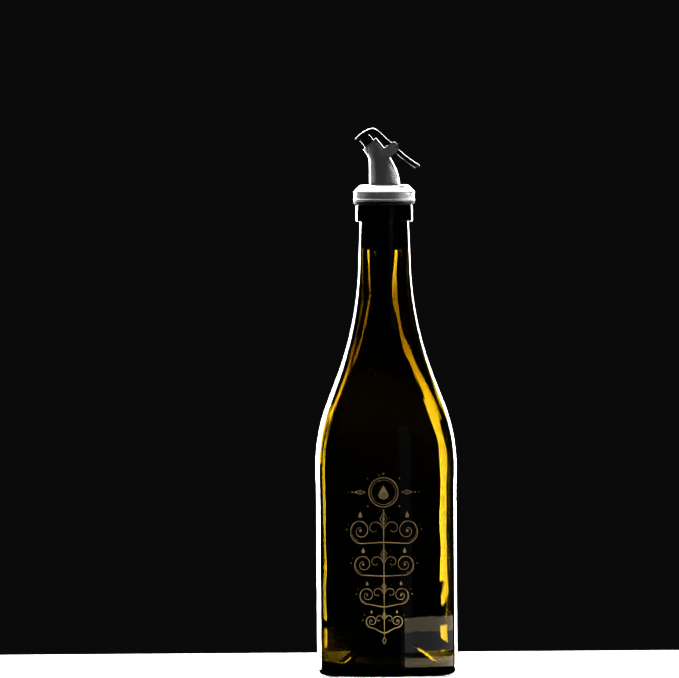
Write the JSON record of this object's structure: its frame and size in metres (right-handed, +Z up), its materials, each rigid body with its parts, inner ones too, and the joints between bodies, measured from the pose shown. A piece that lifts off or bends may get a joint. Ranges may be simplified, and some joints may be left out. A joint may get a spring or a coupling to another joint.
{
  "type": "oil dispenser bottle",
  "caption": "Slim dark glass oil bottle with a long tapered neck, a ribbed stopper, a leaning steel pouring spout and a black flip cap worked by a lever.",
  "frame": {"origin": "on the bottle's axis, on the floor that it stands on", "axes": "+Z up along the bottle's axis; the spout's mouth leans towards -X and the lever of the flip cap points towards +X; the hinge's axis runs along Y"},
  "size_m": [0.0732, 0.0732, 0.2845],
  "materials": {
    "dark_glass": "very dark olive-brown glass, smooth and glossy",
    "black_silicone": "soft black moulded silicone",
    "satin_steel": "satin stainless steel with polished edges",
    "pin_steel": "polished steel",
    "black_plastic": "black gloss plastic",
    "gold_print": "thin dull gold screen print on the glass"
  },
  "bodies": {
    "bottle": {"bottle": "dark_glass", "stopper": "black_silicone", "pourer": "satin_steel", "hinge_pin": "pin_steel"},
    "flip_cap": {"flip_cap": "black_plastic"}
  },
  "joints": [
    {"name": "cap_hinge", "type": "hinge", "parent": "bottle", "child": "flip_cap", "pos_m": [0.005, 0, 0.2745], "axis": [0, 1, 0], "range_deg": [0, 32]}
  ]
}
